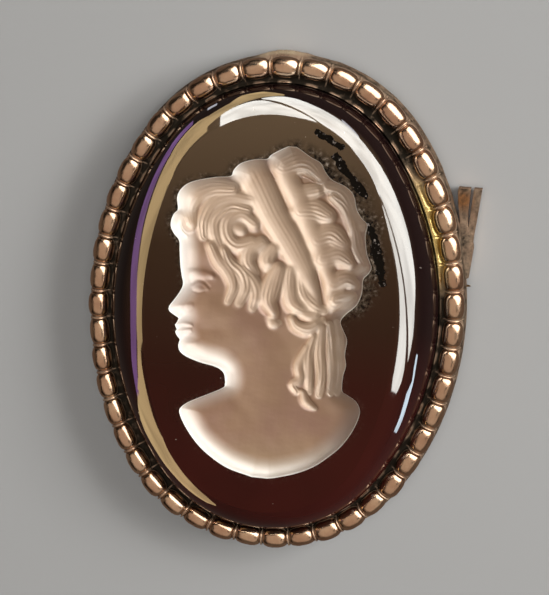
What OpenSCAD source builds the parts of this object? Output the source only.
// Oval brooch: a dark mirror glass with a frosted lady's bust sunk into it, in a cast, beaded frame.
// Millimetres, +Z up. It lies face up on z = 0, with the middle of the glass on the Z axis.

/* [Glass] */
// Width of the oval glass
glass_w = 29.5; // [27:0.5:33]
// Length of the oval glass
glass_l = 40.6; // [38:0.2:48]
// Radius of the oval's two ends
end_r = 12.1; // [10.5:0.1:13]
// Height of the upright edge of the glass
edge_h = 1.2; // [0.8:0.1:2]
// Height of the rounded shoulder, from the upright edge to the flat table
shoulder_h = 2.6; // [1.8:0.1:3.5]
// Width of the shoulder at the two long sides
shoulder_side = 3.45; // [2.6:0.05:4]
// Width of the shoulder at the two ends
shoulder_end = 2.4; // [1.8:0.05:3]

/* [Figure] */
// Height of the sunk figure, from the lowest point of the bust to the top of the hair
figure_h = 29.8; // [24:0.2:31]
// Depth of the upright lip all round the figure
lip_depth = 0.15; // [0.1:0.05:0.3]
// Depth of the face and bust below the lip
flesh_depth = 1.05; // [0.6:0.05:1.3]
// Further depth of the hair at its fullest
hair_depth = 0.6; // [0.3:0.05:0.8]
// Width of the rounded wall inside the outline
wall_round = 1.7; // [1:0.1:2.4]

/* [Frame] */
// Clearance between the glass and the frame
glass_gap = 0.08; // [0.05:0.01:0.15]
// Width of the rim, from the glass to its outer edge
rim_w = 2.4; // [2.2:0.05:3.2]
// Height of the ledge that the glass lies on
seat_z = 2.2; // [2:0.1:3]
// Width of the ledge under the glass
ledge_w = 1.6; // [1:0.1:2.5]
// Thickness of the ledge
ledge_t = 0.8; // [0.6:0.05:0.9]
// Height at which the flank is widest
flank_z = 1.2; // [1:0.05:1.4]
// Width of the open channel between the glass and the beads
channel_w = 0.42; // [0.4:0.02:0.7]
// Height of the shelf that carries the beads, above the ledge
shelf_h = 0.65; // [0.5:0.05:0.9]

/* [Beaded border] */
// Number of beads
bead_n = 47; // [40:1:52]
// Diameter of a bead
bead_d = 1.84; // [1.5:0.02:1.84]
// Height of a bead's axis above the shelf
bead_lift = 0.12; // [0:0.02:0.3]
// Diameter of the border in the grooves between the beads
groove_d = 1.3; // [1:0.02:1.5]

/* [Top swelling and catch] */
// Width of the low swelling at the top of the flank
swell_w = 4.4; // [3:0.1:6]
// How far the swelling stands out from the flank
swell_out = 0.35; // [0.2:0.05:0.6]
// Length of the folded catch along the right flank
catch_l = 8.4; // [6:0.1:9]
// Height of the catch strip
catch_h = 1.3; // [0.8:0.1:1.6]
// Thickness of the catch's inner leaf at its mouth
inner_leaf = 1.1; // [0.9:0.02:1.2]
// Thickness of the catch's outer leaf at its mouth
outer_leaf = 0.74; // [0.6:0.02:0.8]
// Width of the open slot between the leaves, at its mouth
slot_w = 0.26; // [0.2:0.02:0.3]
// How far the mouth stands out past the widest place of the rim
catch_out = 0.5; // [0.4:0.05:0.6]

/* [Pin] */
// Distance of the pin above the middle of the brooch
pin_y = 3.3; // [1:0.1:5]
// Height of the pin's axis
pin_z = 0.68; // [0.6:0.02:0.8]
// Diameter of the pin
pin_d = 0.8; // [0.6:0.05:0.9]
// Length of the ground point
point_l = 2.4; // [1.5:0.1:4]
// How far the point stands out past the rim
point_out = 0.3; // [0.1:0.05:0.6]
// Diameter of the hinge barrel
barrel_d = 1.1; // [0.9:0.05:1.2]
// Length of the hinge barrel
barrel_l = 1.6; // [1:0.1:2.4]
// Thickness of each hinge ear
ear_t = 0.5; // [0.4:0.05:0.8]
// Clearance between the barrel and each ear
hinge_gap = 0.08; // [0.05:0.01:0.15]
// Clearance all round the pin where it crosses the rim
notch_gap = 0.25; // [0.15:0.05:0.4]

/* [Hidden] */
$fn = 64;

half_w = glass_w / 2;
half_l = glass_l / 2;

// An oval of four arcs: the two long sides have one radius and the two ends another.
function side_radius(a, b, r) = (a * a + b * b - 2 * b * r) / (2 * (a - r));
function join_angle(a, b, r) = atan2(b - r, side_radius(a, b, r) - a);

side_r = side_radius(half_w, half_l, end_r);
side_turn = join_angle(half_w, half_l, end_r);

glass_bottom = seat_z + glass_gap;
edge_top = glass_bottom + edge_h;
table_z = edge_top + shoulder_h;
shelf_z = seat_z + shelf_h;
ledge_under = seat_z - ledge_t;
rim_in = rim_w / 8;
wall_h = edge_h / 4;
bead_mid = channel_w + bead_d / 2;
bead_arc = [190, 145, 108, 72, 35, -10];
flank_lean = rim_w / 16;
flank_top = (flank_z + shelf_z) / 2;
foot_z = flank_z * 0.42;
foot_round = rim_w * 0.27;

// Where a thing sits on a line parallel to the glass's edge: [x, y, direction of the line].
function border_place(out, s) =
    let (long = 2 * side_turn * PI / 180 * (side_r + out),
         short = (180 - 2 * side_turn) * PI / 180 * (end_r + out),
         half = long + short,
         u = s % half,
         back = s >= half ? -1 : 1,
         on_side = u < long,
         turn = on_side ? -side_turn + 2 * side_turn * u / long
                        : side_turn + (180 - 2 * side_turn) * (u - long) / short,
         x = on_side ? half_w - side_r + (side_r + out) * cos(turn) : (end_r + out) * cos(turn),
         y = on_side ? (side_r + out) * sin(turn) : half_l - end_r + (end_r + out) * sin(turn))
    [back * x, back * y, turn + 90 + (back < 0 ? 180 : 0)];

function border_length(out) =
    4 * side_turn * PI / 180 * (side_r + out) + (360 - 4 * side_turn) * PI / 180 * (end_r + out);

// Stretches of the border from one groove to the next: [share of the pitch, share of fullness].
bead_steps = [[0, 0], [0.09, 0.7], [0.27, 1], [0.73, 1], [0.91, 0.7]];

// The rim is a little out of true: [direction out of the glass's edge, share of rim_w outward].
rim_sway = [
    [0, 0], [8, 0], [16, 0.05], [30, 0.17], [68, 0.14], [82, 0.08], [95, 0.03], [115, 0],
    [135, 0.01], [158, 0.06], [170, 0.02], [180, 0], [190, 0.03], [201, 0.14], [212, 0.19],
    [222, 0.16], [238, 0.05], [250, -0.02], [262, -0.09], [272, -0.11], [290, -0.06],
    [305, -0.08], [314, -0.04], [325, 0.02], [336, 0.04], [350, 0.01], [360, 0]];

// The frame's section at one place: [outside the glass, height], from the ledge round to the rim.
function rim_section(full, swell, under, sway) =
    let (r = groove_d / 2 + full * (bead_d - groove_d) / 2,
         z = shelf_z + bead_lift,
         wide_z = max(flank_z, under + notch_gap / 2),
         mid = bead_mid + sway,
         edge = rim_w + sway)
    concat(
        [[glass_gap, seat_z], [glass_gap, seat_z + wall_h]],
        [for (t = bead_arc) [mid + r * cos(t), z + r * sin(t)]],
        [[edge - flank_lean + swell, flank_top],
         [edge + swell, wide_z],
         [edge - flank_lean + swell / 2, max(foot_z, under)],
         [edge - foot_round, under],
         [rim_in, under],
         [rim_in, ledge_under],
         [-ledge_w, ledge_under],
         [-ledge_w, seat_z]]);

// How far the swelling at the top stands out at a place.
function swell_at(x, y) = y > 0 && abs(x) < swell_w / 2 ? swell_out * cos(180 * x / swell_w) : 0;

// Height of the rim's underside at a place: it is notched where the pin crosses it.
function under_at(x, y) =
    x > 0 && abs(y - pin_y) < pin_d / 2 + 2 * notch_gap ? pin_z + pin_d / 2 + notch_gap : 0;

module rim() {
    steps = len(bead_steps);
    pitch = border_length(bead_mid) / bead_n;
    rings = [for (i = [0:bead_n - 1]) for (step = bead_steps)
        let (at = border_place(bead_mid, (i + step[0]) * pitch),
             out = [cos(at[2] - 90), sin(at[2] - 90)],
             foot = [at.x, at.y] - out * bead_mid,
             sway = rim_w * lookup((at[2] + 270) % 360, rim_sway))
        [for (p = rim_section(step[1], swell_at(at.x, at.y), under_at(at.x, at.y), sway))
            [foot.x + out.x * p.x, foot.y + out.y * p.x, p.y]]];
    n = len(rings);
    k = len(rings[0]);
    polyhedron(
        points = [for (ring = rings) for (p = ring) p],
        faces = [for (j = [0:n - 1]) for (i = [0:k - 1])
            let (a = j * k + i, b = j * k + (i + 1) % k,
                 c = ((j + 1) % n) * k + (i + 1) % k, d = ((j + 1) % n) * k + i)
            each [[a, c, b], [a, d, c]]],
        convexity = 8);
}

// Corners of the catch's body, seen from above: [share of its width in from the mouth's outer
// side, share of its length]. They run up its outer side, and down its inner side to the rim.
catch_outer = [[0.64, 0], [0.285, 0.06], [0.17, 0.38], [0.215, 0.42], [0.14, 0.64], [0, 1]];
catch_inner = [[1, 1], [0.83, 0.66], [0.97, 0.53], [0.86, 0.1]];
catch_w = inner_leaf + slot_w + outer_leaf;
catch_z = catch_h * 0.23;

// A strip folded to two leaves, with a slot between them that is open at the mouth.
module catch() {
    out_x = half_w + rim_w + catch_out;
    foot_y = pin_y + pin_d / 2;
    slot_in = outer_leaf + slot_w;
    slot = [[outer_leaf, 1], [outer_leaf + slot_w / 2, 0.76], [slot_in - slot_w / 4, 0.59],
            [slot_in + slot_w / 3, 0.76], [slot_in, 1]];
    corners = concat([for (c = catch_outer) [c[0] * catch_w, c[1]]], slot,
                     [for (c = catch_inner) [c[0] * catch_w, c[1]]]);
    translate([0, 0, catch_z]) linear_extrude(catch_h)
        polygon([for (c = corners) [out_x - c[0], foot_y + c[1] * catch_l]]);
}

ear_w = barrel_d * 1.2;
ear_z = pin_z / 3;
barrel_x = -half_w + ledge_w * 0.75;

module hinge_ears() {
    ear_h = ledge_under + ledge_t / 2 - ear_z;
    for (side = [-1, 1])
        translate([barrel_x, pin_y + side * (barrel_l / 2 + hinge_gap + ear_t / 2), ear_z + ear_h / 2])
            cube([ear_w, ear_t, ear_h], center = true);
}

module frame() {
    color([0.62, 0.45, 0.34]) {
        rim();
        catch();
        hinge_ears();
    }
}

// The figure is drawn on squares of one millimetre; this is how many it takes from foot to top.
figure_squares = 29.8;
sq = figure_h / figure_squares;

// Left edge of the figure, from the top down: hair, forehead, nose, lips, chin, throat, bust.
// [height, place] in squares from the middle of the glass.
left_edge = [
    [15.2, 1.1], [14.9, 0.5], [14.4, -0.3], [14.0, -0.7], [13.9, -1.7], [13.5, -2.9],
    [12.9, -3.5], [12.3, -3.8], [12.1, -5.2], [11.6, -7.1], [11.0, -8.0], [10.2, -8.4],
    [9.1, -8.3], [8.6, -8.7], [7.7, -8.9], [7.0, -8.6], [6.4, -8.1], [5.4, -8.0],
    [4.2, -7.9], [3.3, -7.75], [2.5, -7.6], [1.8, -7.85], [1.0, -8.35], [0.35, -8.8],
    [-0.02, -8.75], [-0.35, -8.25], [-0.6, -7.9], [-0.95, -8.0], [-1.3, -8.2], [-1.6, -8.02],
    [-1.9, -8.14], [-2.2, -7.98], [-2.55, -7.72], [-3.05, -7.82], [-3.55, -7.7], [-4.0, -7.1],
    [-4.4, -5.9], [-4.65, -4.6], [-4.95, -3.9], [-5.4, -3.55], [-6.3, -3.45], [-6.7, -3.7],
    [-7.3, -4.8], [-7.9, -6.0], [-8.4, -6.9], [-9.0, -7.5], [-9.7, -7.35], [-10.7, -6.8],
    [-12.0, -5.8], [-13.1, -4.5], [-14.0, -2.9], [-14.6, -0.7],
];

// Right edge of the figure, from the top down: back hair, tied hair, shoulder, bust.
right_edge = [
    [15.2, 1.8], [14.9, 2.3], [14.4, 3.1], [14.0, 3.9], [13.2, 4.4], [12.6, 5.0],
    [12.1, 6.2], [11.4, 6.9], [10.3, 7.2], [9.5, 7.7], [9.0, 8.2], [8.0, 8.1],
    [6.6, 8.3], [5.8, 8.6], [5.3, 8.8], [4.8, 8.6], [4.2, 8.15], [3.0, 8.1],
    [1.9, 7.7], [1.0, 6.8], [0.3, 6.4], [-0.5, 6.7], [-1.3, 7.05], [-2.6, 6.95],
    [-3.6, 7.1], [-4.6, 6.9], [-5.9, 6.9], [-6.3, 7.4], [-6.7, 8.1], [-7.3, 8.5],
    [-8.0, 8.55], [-9.1, 8.2], [-10.1, 7.7], [-11.1, 7.0], [-12.0, 6.1], [-13.0, 4.9],
    [-13.8, 3.4], [-14.4, 1.6], [-14.6, 0.7],
];

// Locks of hair as rounded ridges: [x, y, x, y, half width, half width, height share].
locks = [
    [-2.2, 12.6, 0.3, 8.9, 1.45, 1.15, 0.9], [0.3, 8.9, 4.1, 2.4, 1.15, 0.4, 0.85],
    [0.8, 13.6, 2.6, 9.4, 1.5, 1.1, 1.0], [2.6, 9.4, 5.0, 1.8, 1.1, 0.5, 1.0],
    [2.6, 13.6, 3.5, 12.3, 1.4, 1.2, 0.9], [3.4, 10.2, 6.1, 10.4, 1.1, 1.2, 0.85],
    [5.3, 11.4, 7.0, 9.2, 0.9, 0.8, 0.8], [4.9, 7.4, 7.2, 6.9, 1.2, 1.3, 0.85],
    [7.5, 8.6, 7.6, 7.9, 0.7, 0.7, 0.7], [8.0, 5.2, 7.3, 5.3, 0.8, 0.8, 0.8],
    [5.9, 4.6, 7.2, 3.9, 0.9, 1.0, 0.8], [6.2, 2.2, 7.0, 2.8, 0.9, 1.1, 0.8],
    [-7.6, 10.6, -7.1, 8.0, 0.75, 0.6, 0.75], [-7.2, 11.0, -3.8, 11.4, 0.6, 0.7, 0.7],
    [-6.6, 9.7, -3.2, 10.3, 0.6, 0.8, 0.7], [-8.3, 7.9, -8.1, 7.3, 0.65, 0.6, 0.6],
    [-6.2, 8.6, -6.0, 6.9, 0.55, 0.5, 0.7], [-5.1, 9.0, -5.2, 7.0, 0.55, 0.5, 0.7],
    [-5.2, 7.0, -4.0, 6.2, 0.5, 0.5, 0.7], [-3.6, 8.2, -2.6, 7.6, 1.2, 1.1, 0.85],
    [-5.3, 5.9, -4.4, 4.6, 0.55, 0.5, 0.65], [-4.4, 4.6, -3.2, 3.2, 0.5, 0.45, 0.65],
    [-1.7, 5.6, -1.0, 4.6, 1.1, 0.7, 0.9], [-3.2, 3.2, -3.4, 1.6, 0.45, 0.5, 0.65],
    [-2.0, 3.7, -1.7, 1.4, 0.8, 0.7, 0.7], [0.3, 4.2, -0.2, 0.9, 0.7, 0.6, 0.9],
    [1.6, 4.0, 1.4, 0.8, 0.7, 0.8, 0.75], [2.9, 3.0, 2.9, 0.9, 0.7, 0.8, 0.75],
    [2.2, -0.2, 3.2, -0.7, 0.5, 0.5, 0.8], [3.2, -0.7, 4.4, -0.2, 0.5, 0.5, 0.7],
    [0.3, -0.3, 0.9, -0.3, 0.5, 0.5, 0.6], [5.0, 0.0, 5.1, -5.6, 0.6, 0.6, 0.7],
    [6.1, 0.2, 6.3, -5.8, 0.45, 0.55, 0.7], [4.4, -1.2, 4.1, -6.2, 0.5, 0.6, 0.7],
    [3.7, -2.4, 2.9, -4.9, 0.35, 0.5, 0.75], [2.5, -5.9, 3.3, -6.6, 0.5, 0.5, 0.8],
    [3.8, -7.0, 4.6, -7.7, 0.45, 0.4, 0.7],
];

// Soft forms of the face and neck, as above: brow, lid, nostril, lips, chin, cheek, jaw, neck.
features = [
    [-7.2, 3.4, -5.4, 3.0, 0.5, 0.4, 0.3], [-6.8, 2.2, -5.8, 2.1, 0.5, 0.4, 0.35],
    [-7.6, 0.3, -7.3, 0.5, 0.5, 0.4, 0.45], [-7.8, -1.25, -6.9, -1.5, 0.35, 0.2, 0.35],
    [-7.8, -1.95, -7.0, -1.8, 0.35, 0.2, 0.35], [-6.9, -3.2, -6.4, -3.2, 0.8, 0.7, 0.3],
    [-4.2, 0.2, -2.4, -0.6, 2.6, 2.6, 0.4], [-5.4, -3.2, -0.4, -1.4, 1.0, 1.4, 0.35],
    [-0.8, -4.2, -0.6, -8.0, 2.2, 2.6, 0.25], [3.0, -9.0, -2.0, -9.6, 2.4, 2.4, 0.12],
];

// A point's distance from a stretch given as [x, y, run, rise], squared, and how far along it is.
function along(p, s) =
    let (t = ((p.x - s[0]) * s[2] + (p.y - s[1]) * s[3]) / (s[2] * s[2] + s[3] * s[3]))
    max(0, min(1, t));
function far2(p, s, t) =
    let (dx = p.x - s[0] - t * s[2], dy = p.y - s[1] - t * s[3]) dx * dx + dy * dy;

// Height of the fullest ridge of a table at a point, as a share.
function fullest(p, table) =
    max([for (r = table)
        let (s = [r[0], r[1], r[2] - r[0], r[3] - r[1]],
             t = along(p, s),
             w = r[4] + t * (r[5] - r[4]),
             k = 1 - far2(p, s, t) / (w * w))
        k > 0 ? r[6] * sqrt(k) : 0]);

// Share of the full depth that the rounded wall has reached at a distance from the outline.
function wall_share(d) = d >= wall_round ? 1 : sqrt(1 - pow(1 - d / wall_round, 2));

function figure_depth(p, edges) =
    let (q = p / sq,
         d = sq * sqrt(min([for (s = edges) far2(q, s, along(q, s))])),
         share = wall_share(d))
    lip_depth + share * flesh_depth * (0.85 + 0.25 * fullest(q, features))
        + sqrt(share) * hair_depth * fullest(q, locks);

// Even steps, a little closer together at both ends.
function eased(t, pull) = t - pull * sin(360 * t) / (2 * PI);

// Half width of a four-arc oval at a height.
function oval_half(y, a, b, r) =
    let (side = side_radius(a, b, r))
    abs(y) <= side * sin(join_angle(a, b, r)) ? a - side + sqrt(side * side - y * y)
                                              : sqrt(r * r - pow(abs(y) - b + r, 2));

// Points of an oval: one to each height at right and left, and some over the top and the foot.
function oval_ring(a, b, r, heights, steps) =
    let (top = heights[0], foot = heights[len(heights) - 1],
         up = atan2(top - b + r, oval_half(top, a, b, r)),
         down = atan2(-foot - b + r, oval_half(foot, a, b, r)))
    concat(
        [for (k = [len(heights) - 1:-1:0]) [oval_half(heights[k], a, b, r), heights[k]]],
        [for (i = [1:steps - 1]) let (t = up + (180 - 2 * up) * i / steps)
            [r * cos(t), b - r + r * sin(t)]],
        [for (y = heights) [-oval_half(y, a, b, r), y]],
        [for (i = [1:steps - 1]) let (t = 180 + down + (180 - 2 * down) * i / steps)
            [r * cos(t), r - b + r * sin(t)]]);

// Levels of the glass: [share of the shoulder's width, share of its height].
shoulder = [[0, 0], [0.04, 0.2], [0.13, 0.42], [0.28, 0.63], [0.5, 0.81], [0.75, 0.93], [1, 1]];

// The glass is one skin: its edge and shoulder in rings, the flat table in strips beside the
// figure with a cap above and below, and the sunk figure as a grid that starts at a small lip.
module glass() {
    rows = 56;
    columns = 34;
    steps = 10;
    top = left_edge[0][0];
    foot = left_edge[len(left_edge) - 1][0];
    chain = concat([for (e = left_edge) [e[1], e[0]]],
                   [for (i = [len(right_edge) - 1:-1:0]) [right_edge[i][1], right_edge[i][0]]]);
    edges = [for (i = [0:len(chain) - 1])
        let (a = chain[i], b = chain[(i + 1) % len(chain)]) [a.x, a.y, b.x - a.x, b.y - a.y]];
    heights = [for (j = [0:rows]) sq * (top + (foot - top) * eased(j / rows, 0.25))];
    grid = [for (y = heights)
        let (left = lookup(y / sq, left_edge), right = lookup(y / sq, right_edge))
        [for (i = [0:columns]) [sq * (left + (right - left) * eased(i / columns, 0.4)), y]]];
    floor_points = [for (row = grid) for (p = row) [p.x, p.y, table_z - figure_depth(p, edges)]];
    rim = concat(
        [for (i = [0:columns]) i],
        [for (j = [1:rows]) j * (columns + 1) + columns],
        [for (i = [columns - 1:-1:0]) rows * (columns + 1) + i],
        [for (j = [rows - 1:-1:1]) j * (columns + 1)]);
    lip_points = [for (k = rim) [floor_points[k].x, floor_points[k].y, table_z]];

    table_l = half_l - shoulder_end;
    outer = oval_ring(half_w, half_l, end_r, heights * (half_l / table_l), steps);
    inner = oval_ring(half_w - shoulder_side, table_l, end_r - shoulder_end, heights, steps);
    levels = concat([[0, glass_bottom]], [for (s = shoulder) [s[0], edge_top + s[1] * shoulder_h]]);
    n = len(outer);
    skin = [for (level = levels) for (i = [0:n - 1])
        let (p = outer[i] * (1 - level[0]) + inner[i] * level[0]) [p.x, p.y, level[1]]];
    table = (len(levels) - 1) * n;
    lip = len(skin);
    low = lip + len(rim);
    m = len(rim);
    left_side = table + rows + steps;
    mid = steps / 2;
    middle = low + len(floor_points);
    color([0.24, 0.13, 0.08]) polyhedron(
        points = concat(skin, lip_points, floor_points, [[0, 0, glass_bottom]]),
        faces = concat(
            [for (i = [0:n - 1]) [i, (i + 1) % n, middle]],
            [for (j = [0:len(levels) - 2]) for (i = [0:n - 1])
                let (a = j * n + i, b = j * n + (i + 1) % n)
                each [[a, a + n, b + n], [a, b + n, b]]],
            [for (j = [0:rows - 1])
                let (a = lip + columns + j, b = table + rows - j)
                each [[a, b, b - 1], [a, b - 1, a + 1]]],
            [for (j = [0:rows - 1])
                let (a = left_side + j, b = lip + (m - j) % m, c = lip + m - j - 1)
                each [[a, b, c], [a, c, a + 1]]],
            [concat([for (i = [mid:steps]) left_side - i], [for (i = [columns:-1:0]) lip + i],
                    [for (i = [0:mid - 1]) left_side - i])],
            [concat([for (i = [mid:-1:0]) left_side + rows + i],
                    [for (i = [columns:-1:0]) lip + columns + rows + i], [table],
                    [for (i = [steps - 1:-1:mid + 1]) left_side + rows + i])],
            [for (i = [0:m - 1])
                let (a = lip + i, k = (i + 1) % m, b = lip + k, c = low + rim[k], d = low + rim[i])
                each [[a, b, c], [a, c, d]]],
            [for (j = [0:rows - 1]) for (i = [0:columns - 1])
                let (a = low + j * (columns + 1) + i, c = a + columns + 1)
                each [[a, a + 1, c + 1], [a, c + 1, c]]]),
        convexity = 8);
}

module pin() {
    reach = -half_w + side_r - sqrt(pow(side_r + rim_w, 2) - pin_y * pin_y);
    tip_x = point_out - reach;
    color([0.7, 0.6, 0.45]) {
        translate([barrel_x, pin_y, pin_z]) rotate([90, 0, 0])
            cylinder(d = barrel_d, h = barrel_l, center = true, $fn = 48);
        translate([barrel_x, pin_y, pin_z]) rotate([0, 90, 0])
            cylinder(d = pin_d, h = tip_x - point_l - barrel_x, $fn = 48);
        translate([tip_x - point_l, pin_y, pin_z]) rotate([0, 90, 0])
            cylinder(d1 = pin_d, d2 = pin_d / 8, h = point_l, $fn = 48);
    }
}

frame();
glass();
pin();
